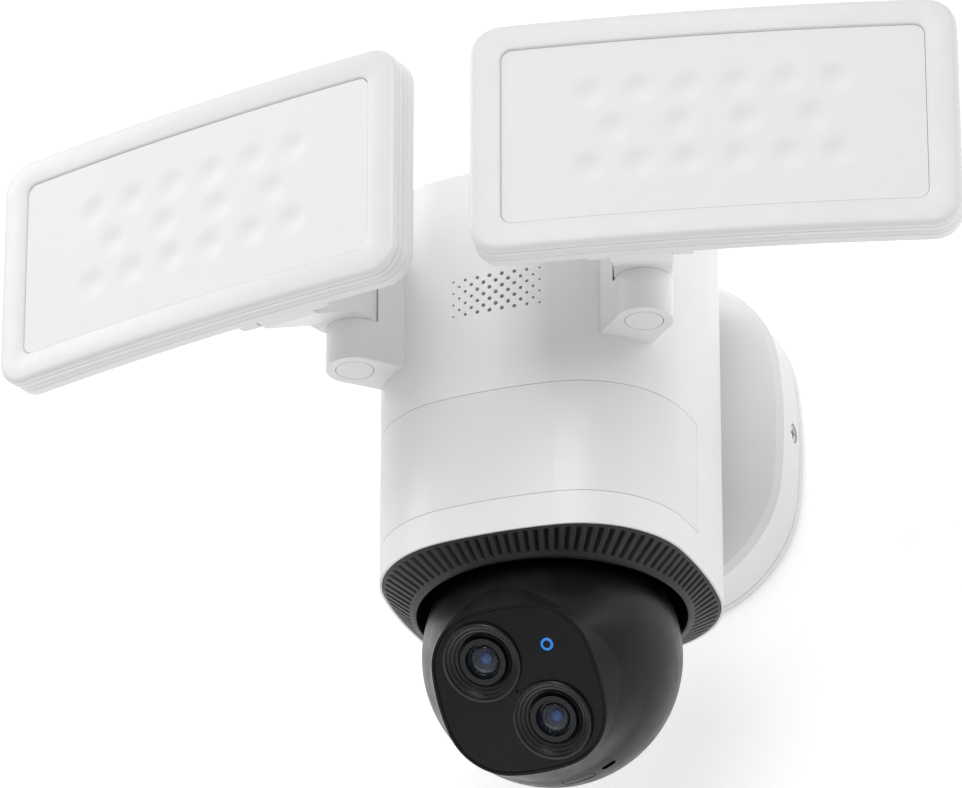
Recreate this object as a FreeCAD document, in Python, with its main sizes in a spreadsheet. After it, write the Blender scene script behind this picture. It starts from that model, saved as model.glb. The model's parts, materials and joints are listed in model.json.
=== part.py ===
import FreeCAD, Part
import math
import os
import re
import Sketcher

# Floodlight security camera: a wall base carries a tall housing with two hinged
# lamps on its front corners and a ball-shaped camera head hanging under it.
# Frame: origin on the wall plane at the centre of the wall base, +Z up, the wall
# on the +Y side, so that everything stands on the -Y side. Millimetres, degrees.

Vector = FreeCAD.Vector
Rotation = FreeCAD.Rotation
Placement = FreeCAD.Placement
X_AXIS = Vector(1, 0, 0)
Y_AXIS = Vector(0, 1, 0)
Z_AXIS = Vector(0, 0, 1)
ORIGIN = Vector(0, 0, 0)

DRIVING_SIZES = {
    # wall base
    "base_half": 68.4,
    "base_depth": 25.3,
    "base_wall": 3.0,
    "base_edge": 2.3,
    "base_groove": 4.3,
    "gasket_depth": 1.2,
    "plate_thick": 1.6,
    "plate_length": 112.0,
    "plate_width": 30.0,
    "box_screw_spacing": 88.9,
    "box_slot_radius": 2.3,
    "box_slot_length": 14.0,
    "wire_hole": 12.0,
    "side_screw_y": -11.2,
    "side_screw_head": 3.4,
    "side_screw_shank": 2.0,
    # housing
    "body_axis_y": -88.2,
    "floor_z": -91.0,
    "body_half": 58.7,
    "body_tall": 148.0,
    "body_wall": 2.6,
    "body_edge": 1.6,
    "collar_radius": 41.0,
    "window_low": 12.7,
    "window_high": 56.7,
    "window_back": 7.25,
    "seam": 0.2,
    "grille_z": 96.4,
    "grille_pitch_x": 2.37,
    "grille_pitch_z": 4.7,
    "grille_hole": 0.82,
    "ring_half": 57.9,
    "ring_hole": 48.7,
    "ring_drop": 7.6,
    "cup_wall": 2.2,
    "cup_top": 25.0,
    "chassis_z": 37.0,
    "chassis_thick": 3.0,
    # head
    "head_radius": 47.1,
    "head_wall": 2.4,
    "head_drop": 23.7,
    "head_pan": -3.5,
    "head_tilt": 40.3,
    "head_split": 18.0,
    "face_half": 30.0,
    "lens_offset_x": 10.1,
    "lens_offset_z": 12.6,
    "lens_radius": 14.7,
    "stem_half_x": 12.0,
    "stem_half_y": 10.0,
    "axle_radius": 4.0,
    # lamp arms
    "hinge_x": 55.6,
    "hinge_y": -55.6,
    "bracket_low": 75.7,
    "bracket_tall": 16.0,
    "bracket_half": 10.2,
    "knuckle_radius": 10.5,
    "knuckle_top": 117.5,
    "hinge_pin": 4.0,
    "fit_gap": 0.05,
    "lamp_yaw": 13.0,
    "clevis_x": 3.2,
    "clevis_gap": 11.3,
    "ear_thick": 7.4,
    "ear_radius": 8.2,
    "tilt_y": -41.0,
    "tilt_z": 89.0,
    "tilt_pin": 3.0,
    # lamps
    "lamp_x": 31.4,
    "lamp_front": -60.8,
    "lamp_z": 122.4,
    "lamp_bend": 1084.0,
    "lamp_half_x": 87.1,
    "lamp_half_z": 45.6,
    "lamp_corner": 11.0,
    "lamp_depth": 11.2,
    "bezel_depth": 5.2,
    "view_half_x": 75.7,
    "view_half_z": 34.9,
    "led_pitch": 17.6,
    "led_mid_pitch": 23.5,
    "led_rows": 14.9,
}

S = DRIVING_SIZES
SIDES = (("left", -1), ("right", 1))

doc = FreeCAD.newDocument("floodlight_camera")
sheet = doc.addObject("Spreadsheet::Sheet", "Sizes")
for row, (alias, value) in enumerate(DRIVING_SIZES.items(), start=1):
    sheet.set(f"A{row}", alias)
    sheet.set(f"B{row}", str(value))
    sheet.setAlias(f"B{row}", alias)
doc.recompute()

nodes = []


# ---------------------------------------------------------------- helpers
def qualified(expression):
    """Writes the sheet's name in front of each alias in an expression."""
    return re.sub(r"[a-z]\w*", lambda word: "Sizes." + word.group(0)
                  if word.group(0) in S else word.group(0), expression)


def size(thing, **values):
    """Sets sizes: a text is an expression of the sheet's aliases, a number is used as it is."""
    for prop, value in values.items():
        if isinstance(value, str):
            thing.setExpression(prop, qualified(value))
        else:
            setattr(thing, prop, value)
    return thing


def block(name, low, length, width, height):
    """A box from its lowest corner."""
    box = size(doc.addObject("Part::Box", name), Length=length, Width=width, Height=height)
    box.Placement = Placement(Vector(*low), Rotation())
    return box


def rod(name, start, direction, radius, length):
    """A cylinder from a start point along a direction."""
    cylinder = size(doc.addObject("Part::Cylinder", name), Radius=radius, Height=length)
    cylinder.Placement = Placement(Vector(*start), Rotation(Z_AXIS, direction))
    return cylinder


def tube(name, start, direction, outer, inner, length):
    """A hollow cylinder."""
    skin = rod(name + "_outer", start, direction, outer, length)
    hole = rod(name + "_inner", start, direction, inner, length)
    return cut(name, skin, hole)


def ball(name, radius):
    """A sphere about the origin."""
    return size(doc.addObject("Part::Sphere", name), Radius=radius)


def fuse(name, *shapes):
    """One solid from several that touch, or a group of separate ones."""
    joined = doc.addObject("Part::MultiFuse", name)
    joined.Shapes = list(shapes)
    return joined


def cut(name, base, *tools):
    """The base without the tools."""
    result = doc.addObject("Part::Cut", name)
    result.Base = base
    result.Tool = tools[0] if len(tools) == 1 else fuse(name + "_tools", *tools)
    return result


def common(name, *shapes):
    """What all the shapes share."""
    result = doc.addObject("Part::MultiCommon", name)
    result.Shapes = list(shapes)
    return result


def lines(points):
    """Closed outline of straight lines through (x, y) points."""
    corners = [Vector(x, y, 0) for x, y in points]
    return [Part.LineSegment(a, b) for a, b in zip(corners, corners[1:] + corners[:1])]


def arc(centre_x, centre_y, radius, start, end):
    """Arc of a circle between two angles in degrees."""
    circle = Part.Circle(Vector(centre_x, centre_y, 0), Z_AXIS, radius)
    return Part.ArcOfCircle(circle, math.radians(start), math.radians(end))


def squircle(half):
    """Closed outline of a squircle: four shallow side arcs and four tangent corner arcs."""
    side = 3.0 * half
    diagonal = 1.0992 * half
    far = side - half
    reach = side - diagonal
    centre = (reach ** 2 - far ** 2) / (2 * far - 2 * math.sqrt(2) * reach)
    corner = diagonal - centre * math.sqrt(2)
    turn = math.degrees(math.atan2(centre, centre + far))
    outline = []
    for quarter in range(4):
        angle = math.radians(90 * quarter)
        across = math.radians(90 * quarter + 45)
        outline.append(arc(-far * math.cos(angle), -far * math.sin(angle), side,
                           90 * quarter - turn, 90 * quarter + turn))
        outline.append(arc(centre * math.sqrt(2) * math.cos(across),
                           centre * math.sqrt(2) * math.sin(across), corner,
                           90 * quarter + turn, 90 * quarter + 90 - turn))
    return outline


def rounded(half_x, half_y, corner, centre_x=0.0, centre_y=0.0):
    """Closed outline of a rectangle with round corners."""
    outline = []
    turns = ((1, 1, 0), (-1, 1, 90), (-1, -1, 180), (1, -1, 270))
    for sign_x, sign_y, start in turns:
        outline.append(arc(centre_x + sign_x * (half_x - corner),
                           centre_y + sign_y * (half_y - corner), corner, start, start + 90))
    ends = [(piece.StartPoint, piece.EndPoint) for piece in outline]
    for index, (first, last) in enumerate(ends):
        outline.append(Part.LineSegment(last, ends[(index + 1) % 4][0]))
    return outline


def plane_of(body, role):
    """The body's own origin plane with the given role."""
    return next(item for item in body.Origin.OriginFeatures if item.Role == role)


def sketch_on(body, role, outlines, offset, name):
    """A sketch on an origin plane, moved along the plane's normal, with closed outlines."""
    sketch = body.newObject("Sketcher::SketchObject", name)
    sketch.AttachmentSupport = (plane_of(body, role), [""])
    sketch.MapMode = "FlatFace"
    sketch.AttachmentOffset = Placement(Vector(0, 0, offset), Rotation())
    for outline in outlines:
        sketch.addGeometry(outline, False)
    return sketch


def pad(name, role, outlines, offset, length):
    """A body padded from a sketch. Normals: XY_Plane +Z, XZ_Plane -Y, YZ_Plane +X."""
    body = doc.addObject("PartDesign::Body", name)
    sketch = sketch_on(body, role, outlines, offset, name + "_sketch")
    feature = body.newObject("PartDesign::Pad", name + "_pad")
    feature.Profile = sketch
    size(feature, Length=length)
    return body


def pocket(body, role, outlines, offset, length, name, reverse=False):
    """Cuts outlines from the body, along the plane's normal or against it."""
    sketch = sketch_on(body, role, outlines, offset, name + "_sketch")
    feature = body.newObject("PartDesign::Pocket", name)
    feature.Profile = sketch
    feature.Reversed = not reverse
    size(feature, Length=length)
    return feature


def edges_at(shape, test):
    """Names of the edges whose middle and ends all pass a test."""
    found = []
    for index, edge in enumerate(shape.Edges, start=1):
        spots = [edge.valueAt(edge.FirstParameter), edge.valueAt(edge.LastParameter),
                 edge.valueAt((edge.FirstParameter + edge.LastParameter) / 2)]
        if all(test(spot) for spot in spots):
            found.append(f"Edge{index}")
    return found


def soften(body, radius, test, name):
    """Fillets the edges of a body that pass a test."""
    doc.recompute()
    tip = body.Tip
    fillet = body.newObject("PartDesign::Fillet", name)
    fillet.Base = (tip, edges_at(tip.Shape, test))
    size(fillet, Radius=radius)
    return fillet


def chamfer(body, width, test, name):
    """Bevels the edges of a body that pass a test."""
    doc.recompute()
    tip = body.Tip
    slope = body.newObject("PartDesign::Chamfer", name)
    slope.Base = (tip, edges_at(tip.Shape, test))
    size(slope, Size=width)
    return slope


def keep(thing, label, where=None):
    """Names a finished sub-part and puts it in its place."""
    if where is not None:
        thing.Placement = where * thing.Placement
    thing.Label = label
    nodes.append(thing)
    return thing


def involute_wire(teeth, module, backlash, pressure=25.0, addendum=0.8, dedendum=1.05):
    """Closed outline of a spur gear with straight steps along its involute flanks."""
    pitch = module * teeth / 2
    base = pitch * math.cos(math.radians(pressure))
    tip = pitch + addendum * module
    root = pitch - dedendum * module
    start = max(base, root)
    flare = math.tan(math.radians(pressure)) - math.radians(pressure)
    half_tooth = math.pi / (2 * teeth) - backlash / (2 * pitch) + flare
    flank = []
    steps = 5
    for step in range(steps):
        radius = start + (tip - start) * step / (steps - 1)
        roll = math.acos(min(1.0, base / radius))
        flank.append((radius, half_tooth - (math.tan(roll) - roll)))
    if root < start:
        flank.insert(0, (root, flank[0][1]))
    points = []
    for tooth in range(teeth):
        centre = 2 * math.pi * tooth / teeth
        for radius, angle in flank:
            points.append((radius, centre - angle))
        for radius, angle in reversed(flank):
            points.append((radius, centre + angle))
    return lines([(r * math.cos(a), r * math.sin(a)) for r, a in points])


FLOOR = S["floor_z"]
AXIS_Y = S["body_axis_y"]
HEAD_Z = FLOOR - S["head_drop"]
BODY_PLACE = Placement(Vector(0, AXIS_Y, FLOOR), Rotation())
PAN_PLACE = Placement(Vector(0, AXIS_Y, HEAD_Z), Rotation(Z_AXIS, S["head_pan"]))
HEAD_PLACE = PAN_PLACE * Placement(ORIGIN, Rotation(X_AXIS, S["head_tilt"]))


# ---------------------------------------------------------------- wall base
def make_wall_base():
    """Squircle puck, open towards the wall, with its gasket, steel plate and side screws."""
    half = S["base_half"]
    depth = S["base_depth"]
    gasket = S["gasket_depth"]
    wall = S["base_wall"]

    puck = pad("BasePuck", "XZ_Plane", [squircle(half)], gasket, "base_depth - gasket_depth")
    chamfer(puck, "base_edge", lambda p: p.y < -depth + 0.01, "BaseFrontEdge")
    pocket(puck, "XZ_Plane", [squircle(half + 1.0), squircle(half - 0.45)], S["base_groove"], 0.5,
           "BaseGroove", reverse=True)
    pocket(puck, "XZ_Plane", [squircle(half - wall)], 0.0, "base_depth - base_wall", "BaseHollow")
    screw_holes = [[Part.Circle(Vector(x, z, 0), Z_AXIS, 2.1)] for x, z in HOUSING_SCREWS]
    centre_hole = [Part.Circle(ORIGIN, Z_AXIS, S["wire_hole"])]
    pocket(puck, "XZ_Plane", [centre_hole] + screw_holes, 0.0, "base_depth", "BaseHoles")
    seats = []
    for label, side in SIDES:
        outward = Vector(side, 0, 0)
        seats.append(rod(f"SeatHole_{label}", (side * 50, S["side_screw_y"], 0), outward,
                         "side_screw_shank + 0.2", 20.0))
        seats.append(rod(f"SeatMouth_{label}", (side * (half - 1.5), S["side_screw_y"], 0),
                         outward, "side_screw_head + 0.4", 5.0))
    keep(cut("WallBase", puck, *seats), "wall_base")

    keep(pad("WallGasket", "XZ_Plane", [squircle(half - 0.6), squircle(half - 5.0)], 0.0,
             "gasket_depth"), "wall_gasket")

    plate = pad("PlateBlank", "XZ_Plane",
                [rounded(S["plate_length"] / 2, S["plate_width"] / 2, 4.0)], 0.0, "plate_thick")
    slot_reach = S["box_slot_length"] / 2 - S["box_slot_radius"]
    openings = [[Part.Circle(ORIGIN, Z_AXIS, S["wire_hole"])]]
    for side in (-1, 1):
        middle = side * S["box_screw_spacing"] / 2
        radius = S["box_slot_radius"]
        openings.append([
            arc(middle + slot_reach, 0, radius, -90, 90),
            Part.LineSegment(Vector(middle + slot_reach, radius, 0),
                             Vector(middle - slot_reach, radius, 0)),
            arc(middle - slot_reach, 0, radius, 90, 270),
            Part.LineSegment(Vector(middle - slot_reach, -radius, 0),
                             Vector(middle + slot_reach, -radius, 0))])
    pocket(plate, "XZ_Plane", openings, 0.0, "plate_thick", "PlateSlots")
    tabs = []
    for label, side in SIDES:
        tab_x = 60.0 if side > 0 else -62.0
        tabs.append(block(f"PlateTab_{label}", (tab_x, -14.0, -9.0), 2.0, 14.0, 18.0))
        reach_x = 52.0 if side > 0 else -60.0
        tabs.append(block(f"PlateReach_{label}", (reach_x, -1.6, -9.0), 8.0, "plate_thick", 18.0))
    holes = [rod(f"TabHole_{label}", (side * 58, S["side_screw_y"], 0), Vector(side, 0, 0),
                 "side_screw_shank", 6.0) for label, side in SIDES]
    keep(cut("MountingPlate", fuse("PlateBody", plate, *tabs), *holes), "mounting_plate")

    screws = []
    for label, side in SIDES:
        outward = Vector(side, 0, 0)
        top = side * (half - 0.5)
        seat = side * (half - 1.5)
        head = rod(f"SideScrewHead_{label}", (seat, S["side_screw_y"], 0), outward,
                   "side_screw_head", 1.0)
        shank = rod(f"SideScrewShank_{label}", (side * 56, S["side_screw_y"], 0), outward,
                    "side_screw_shank", half - 1.5 - 56)
        arm_low = top - 0.8 if side > 0 else top
        cross = [block(f"SideScrewCross{n}_{label}",
                       (arm_low, S["side_screw_y"] - wide / 2, -tall / 2), 0.8, wide, tall)
                 for n, (wide, tall) in enumerate(((0.9, 4.0), (4.0, 0.9)))]
        screws.append(cut(f"SideScrew_{label}", fuse(f"SideScrewBlank_{label}", head, shank),
                          *cross))
    keep(fuse("SideScrews", *screws), "base_side_screws")

    terminal = block("TerminalBlank", (-18.0, -13.0, -44.0), 36.0, 10.0, 14.0)
    ways = [rod(f"TerminalWay{n}", (x, -14.0, -37.0), Y_AXIS, 2.4, 8.0)
            for n, x in enumerate((-12.0, 0.0, 12.0))]
    keep(cut("TerminalBlock", terminal, *ways), "terminal_block")


HOUSING_SCREWS = [(x, z) for x in (-26.0, 26.0) for z in (-22.0, 22.0)]


def make_collar_and_screws():
    """Round collar between the wall base and the housing, and the four screws through it."""
    front = -S["base_depth"]
    blank = rod("CollarBlank", (0, front, 0), -Y_AXIS, "collar_radius", 16.0)
    body = pad("CollarShaper", "XY_Plane", [squircle(S["body_half"])], 0.0, "body_tall")
    body.Placement = BODY_PLACE
    way = rod("CollarWay", (0, front + 1, 0), -Y_AXIS, "wire_hole", 20.0)
    holes = [rod(f"CollarHole{n}", (x, front + 1, z), -Y_AXIS, 2.1, 20.0)
             for n, (x, z) in enumerate(HOUSING_SCREWS)]
    keep(cut("NeckCollar", blank, body, way, *holes), "neck_collar")

    screws = []
    for n, (x, z) in enumerate(HOUSING_SCREWS):
        head = rod(f"HousingScrewHead{n}", (x, front + S["base_wall"], z), Y_AXIS, 3.6, 2.2)
        shank = rod(f"HousingScrewShank{n}", (x, front + S["base_wall"], z), -Y_AXIS, 2.0, 13.5)
        screws.append(fuse(f"HousingScrew{n}", head, shank))
    keep(fuse("HousingScrews", *screws), "housing_screws")


# ---------------------------------------------------------------- housing
def grille_holes():
    """Staggered columns of round holes, four and three high, smaller towards both ends."""
    holes = []
    columns = 15
    for column in range(columns):
        from_middle = column - columns // 2
        count = 4 if column % 2 == 0 else 3
        radius = S["grille_hole"] * (1.0 - 0.5 * (abs(from_middle) / 7.0) ** 2)
        for row in range(count):
            x = from_middle * S["grille_pitch_x"]
            z = S["grille_z"] + (row - (count - 1) / 2) * S["grille_pitch_z"]
            holes.append([Part.Circle(Vector(x, z, 0), Z_AXIS, radius)])
    return holes


def make_housing():
    """Tall squircle shell with a flat top, open below, and the sensor window set in its front."""
    half = S["body_half"]
    wall = S["body_wall"]
    tall = S["body_tall"]
    low = S["window_low"]
    high = S["window_high"]
    back = -S["window_back"]

    shell = pad("HousingShell", "XY_Plane", [squircle(half)], 0.0, "body_tall")
    soften(shell, "body_edge", lambda p: p.z > tall - 0.01, "HousingTopEdge")
    pocket(shell, "XY_Plane", [squircle(half - wall)], 0.0, "body_tall - body_wall",
           "HousingHollow")
    window_hole = lines([(-half - 5, low), (half + 5, low), (half + 5, high), (-half - 5, high)])
    pocket(shell, "XZ_Plane", [window_hole], S["window_back"], "body_half", "WindowOpening")
    pocket(shell, "XZ_Plane", grille_holes(), half - 12.0, 20.0, "GrilleHoles")
    rear = [[Part.Circle(Vector(x, z - FLOOR, 0), Z_AXIS, 2.1)] for x, z in HOUSING_SCREWS]
    rear.append([Part.Circle(Vector(0, -FLOOR, 0), Z_AXIS, S["wire_hole"])])
    pocket(shell, "XZ_Plane", rear, -half - 5, 20.0, "RearHoles")
    keep(shell, "main_housing", BODY_PLACE)

    seam = S["seam"]
    ring = pad("WindowRing", "XY_Plane", [squircle(half), squircle(half - wall)], low + seam,
               "window_high - window_low - 2 * seam")
    front = block("WindowFront", (-half - 5, -half - 5, low), 2 * half + 10,
                  half + 5 + back - seam, high - low)
    keep(common("SensorWindow", ring, front), "sensor_window", BODY_PLACE)


def make_vent_ring():
    """Black ring under the housing: squircle outside, sloping down to a round hole with a cup."""
    side_wires = []
    outer = squircle(S["ring_half"])
    hole = S["ring_hole"]
    side_wires.append(Part.Wire([piece.toShape() for piece in outer]))
    spots = [math.degrees(math.atan2(piece.StartPoint.y, piece.StartPoint.x)) for piece in outer]
    lower = []
    for index, start in enumerate(spots):
        end = spots[(index + 1) % len(spots)]
        lower.append(arc(0, 0, hole + 1.2, start, end + (360 if end < start else 0)).toShape())
    lower_wire = Part.Wire(lower)
    lower_wire.translate(Vector(0, 0, -S["ring_drop"]))
    side_wires.append(lower_wire)
    skirt = doc.addObject("Part::Feature", "RingSkirt")
    skirt.Shape = Part.makeLoft(side_wires, True, True)
    lip = pad("RingLip", "XY_Plane", [squircle(S["body_half"] - S["body_wall"] - 0.1)], 0.0, 8.0)
    hollow = cut("RingHollow", fuse("RingBlank", skirt, lip),
                 rod("RingInside", (0, 0, 2.6), Z_AXIS, 52.6, 8.0))
    cup = rod("RingCup", (0, 0, -5.0), Z_AXIS, "ring_hole + cup_wall", "cup_top + 5")
    bore = rod("RingBore", (0, 0, -20.0), Z_AXIS, "ring_hole", 60.0)
    keep(cut("VentRing", fuse("RingWhole", hollow, cup), bore), "vent_ring", BODY_PLACE)


PAN_GEAR_TEETH = 50
PAN_PINION_TEETH = 12
PAN_MODULE = 1.0
PAN_MOTOR_Y = PAN_MODULE * (PAN_GEAR_TEETH + PAN_PINION_TEETH) / 2
TILT_GEAR_TEETH = 36
TILT_PINION_TEETH = 12
TILT_MODULE = 0.8
TILT_MOTOR_Z = TILT_MODULE * (TILT_GEAR_TEETH + TILT_PINION_TEETH) / 2
GEAR_BACKLASH = 0.16


def make_housing_internals():
    """Chassis with the pan drive, main board, speaker, motion sensors and power supply."""
    half_in = S["body_half"] - S["body_wall"] - 0.2
    chassis_z = S["chassis_z"]
    above = chassis_z + S["chassis_thick"]

    chassis = pad("ChassisBlank", "XY_Plane", [squircle(half_in)], chassis_z, "chassis_thick")
    leg_reach = 56.0 / math.sqrt(2)
    legs = [rod(f"ChassisLeg{n}", (x * leg_reach, y * leg_reach, 8.0), Z_AXIS, 2.6,
                chassis_z - 8.0) for n, (x, y) in enumerate(((1, 1), (-1, 1), (-1, -1), (1, -1)))]
    hub = rod("ChassisHub", (0, 0, above), Z_AXIS, 18.0, 3.0)
    bearing_seat = rod("ChassisSeat", (0, 0, chassis_z - 1), Z_AXIS, 16.0, 10.0)
    shaft_hole = rod("ChassisShaftHole", (0, PAN_MOTOR_Y, chassis_z - 1), Z_AXIS, 3.2, 6.0)
    deck = cut("ChassisDeck", fuse("ChassisBody", chassis, hub), bearing_seat, shaft_hole)
    keep(fuse("ChassisPlate", deck, *legs), "chassis_plate", BODY_PLACE)

    bearing = tube("PanBearing", (0, 0, chassis_z - 0.5), Z_AXIS, 16.0, 10.05, 6.5)
    keep(bearing, "pan_bearing", BODY_PLACE)

    motor_can = rod("PanMotorCan", (0, PAN_MOTOR_Y, above), Z_AXIS, 12.0, 18.0)
    motor_ears = block("PanMotorEars", (-17.5, PAN_MOTOR_Y - 3.5, above), 35.0, 7.0, 1.2)
    motor_bore = rod("PanMotorBore", (0, PAN_MOTOR_Y, above - 1), Z_AXIS, 2.05, 9.0)
    keep(cut("PanMotor", fuse("PanMotorBody", motor_can, motor_ears), motor_bore), "pan_motor",
         BODY_PLACE)

    pinion = pad("PanPinionTeeth", "XY_Plane",
                 [involute_wire(PAN_PINION_TEETH, PAN_MODULE, GEAR_BACKLASH)], 0.0, 4.4)
    pinion_turn = 180.0 + 90.0 + 180.0 / PAN_PINION_TEETH
    pinion.Placement = Placement(Vector(0, PAN_MOTOR_Y, 30.0), Rotation(Z_AXIS, pinion_turn))
    shaft = rod("PanPinionShaft", (0, PAN_MOTOR_Y, 30.0), Z_AXIS, 2.0, above - 30.0 + 7.0)
    keep(fuse("PanPinion", pinion, shaft), "pan_pinion", BODY_PLACE)

    speaker_z = S["grille_z"]
    frame = rod("SpeakerFrame", (0, -54.6, speaker_z), Y_AXIS, 18.0, 3.0)
    cone_hole = rod("SpeakerConeHole", (0, -55.0, speaker_z), Y_AXIS, 14.5, 1.6)
    basket = rod("SpeakerBasket", (0, -52.0, speaker_z), Y_AXIS, 14.0, 4.0)
    magnet = rod("SpeakerMagnet", (0, -49.0, speaker_z), Y_AXIS, 9.0, 6.0)
    dome = rod("SpeakerDome", (0, -53.4, speaker_z), Y_AXIS, 5.0, 1.6)
    speaker = fuse("SpeakerWhole", frame, basket, magnet)
    keep(fuse("Speaker", cut("SpeakerBody", speaker, cone_hole), dome), "speaker", BODY_PLACE)

    board = block("MainBoardPlate", (-40.0, -39.0, above + 2.0), 80.0, 1.6, 98.0)
    parts = [block(f"MainBoardChip{n}", (x, -37.4, z), wide, deep, high)
             for n, (x, z, wide, deep, high) in enumerate((
                 (-14.0, 92.0, 28.0, 4.0, 24.0), (-34.0, 60.0, 16.0, 3.0, 12.0),
                 (16.0, 62.0, 18.0, 5.0, 8.0), (-32.0, 118.0, 12.0, 2.0, 12.0)))]
    keep(fuse("MainBoard", board, *parts), "main_board", BODY_PLACE)

    supply = pad("SupplyCase", "XY_Plane", [rounded(35.0, 16.0, 3.0, 0.0, 22.0)], 64.0, 60.0)
    keep(supply, "power_supply", BODY_PLACE)

    cans = []
    for n, angle in enumerate((-90, -148, -32)):
        out = Vector(math.cos(math.radians(angle)), math.sin(math.radians(angle)), 0)
        start = out * 46.0 + Vector(0, 0, 49.0)
        can = rod(f"SensorCan{n}", tuple(start), out, 4.6, 5.4)
        foot = rod(f"SensorFoot{n}", tuple(out * 48.7 + Vector(0, 0, above)), Z_AXIS, 1.5, 7.0)
        cans.append(fuse(f"Sensor{n}", can, foot))
    keep(fuse("MotionSensors", *cans), "motion_sensors", BODY_PLACE)


# ---------------------------------------------------------------- camera head
def make_pan_carrier():
    """Turning platter with a hollow shaft above and the stem that holds the ball from inside."""
    lift = S["head_drop"]
    platter = rod("Platter", (0, 0, 26.0 + lift), Z_AXIS, 44.0, 3.0)
    shaft = rod("PanShaft", (0, 0, 29.0 + lift), Z_AXIS, 10.0, 18.0)
    stem = block("Stem", (-S["stem_half_x"], -S["stem_half_y"], 0), "2 * stem_half_x",
                 "2 * stem_half_y", 26.0 + lift)
    stem_end = rod("StemEnd", (-S["stem_half_x"], 0, 0), X_AXIS, "stem_half_y",
                   "2 * stem_half_x")
    shroud_skin = cut("ShroudShell", ball("ShroudOut", "head_radius - head_wall - 0.5"),
                      ball("ShroudIn", "head_radius - head_wall - 1.6"))
    cone = size(doc.addObject("Part::Cone", "ShroudCone"), Radius1=0.0, Radius2=52.0, Height=50.0)
    shroud = common("Shroud", shroud_skin, cone)
    wire_way = rod("PanWireWay", (0, 0, TILT_MOTOR_Z + 9.0), Z_AXIS, 5.0, 60.0)
    axle_bore = rod("StemAxleBore", (-20, 0, 0), X_AXIS, "axle_radius + fit_gap", 40.0)
    motor_bay = rod("StemMotorBay", (-9.0, 0, TILT_MOTOR_Z), X_AXIS, 7.4, 30.0)
    carrier = fuse("CarrierBody", platter, shaft, stem, stem_end, shroud)
    keep(cut("PanCarrier", carrier, wire_way, axle_bore, motor_bay), "pan_carrier", PAN_PLACE)

    gear = pad("PanGear", "XY_Plane",
               [involute_wire(PAN_GEAR_TEETH, PAN_MODULE, GEAR_BACKLASH),
                [Part.Circle(ORIGIN, Z_AXIS, 10.0)]], 0.0, 5.0)
    keep(gear, "pan_gear", Placement(Vector(0, AXIS_Y, FLOOR + 29.0), Rotation(Z_AXIS, 90.0)))

    can = rod("TiltMotorCan", (-9.0, 0, TILT_MOTOR_Z), X_AXIS, 7.3, 20.5)
    bore = rod("TiltMotorBore", (5.0, 0, TILT_MOTOR_Z), X_AXIS, 1.55, 10.0)
    keep(cut("TiltMotor", can, bore), "tilt_motor", PAN_PLACE)

    teeth = pad("TiltPinionTeeth", "YZ_Plane",
                [involute_wire(TILT_PINION_TEETH, TILT_MODULE, GEAR_BACKLASH)], 0.0, 4.6)
    teeth.Placement = Placement(Vector(13.6, 0, TILT_MOTOR_Z),
                                Rotation(X_AXIS, 180.0 + 90.0 + 180.0 / TILT_PINION_TEETH))
    shaft_small = rod("TiltPinionShaft", (6.0, 0, TILT_MOTOR_Z), X_AXIS, 1.5, 12.2)
    keep(fuse("TiltPinion", teeth, shaft_small), "tilt_pinion", PAN_PLACE)


LENSES = (("upper", -1, 1), ("lower", 1, -1))
LIGHT_X = 15.2
LIGHT_Z = 14.6
FACE_FRONT = 41.5
FACE_BEND = 260.0
FACE_FLOOR = 37.6
LENS_FRONT = 42.5
CARD_TURN = 29.0
CARD_LEAN = 7.6
CARD_PIN_Y = 1.7
CARD_PIN_Z = -46.0
BUTTON_TURN = 29.5
BUTTON_LEAN = 22.9


def radial_frame(turn, lean):
    """Place whose -Z points out of the ball below the face: turned forwards, then leaned to +X."""
    return Placement(ORIGIN, Rotation(X_AXIS, -turn) * Rotation(Y_AXIS, -lean))


def face_dome(name, proud):
    """The large ball whose front is the face's shallow dome, standing proud of it by a little."""
    dome = ball(name, FACE_BEND + proud)
    dome.Placement = Placement(Vector(0, FACE_BEND - FACE_FRONT, 0), Rotation())
    return dome


def face_collar(outline, radius):
    """Loft from a circle on the ball to the face's outline, one span for each piece of it."""
    start, front = 27.8, FACE_FRONT
    spots = [math.degrees(math.atan2(piece.StartPoint.y, piece.StartPoint.x)) for piece in outline]
    round_edges = []
    for index, first in enumerate(spots):
        last = spots[(index + 1) % len(spots)]
        round_edges.append(arc(0, 0, radius, first, last + (360 if last < first else 0)).toShape())
    round_wire = Part.Wire(round_edges)
    round_wire.translate(Vector(0, 0, start))
    face_wire = Part.Wire([piece.toShape() for piece in outline])
    face_wire.translate(Vector(0, 0, front))
    return Part.makeLoft([round_wire, face_wire], True, True)


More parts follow.
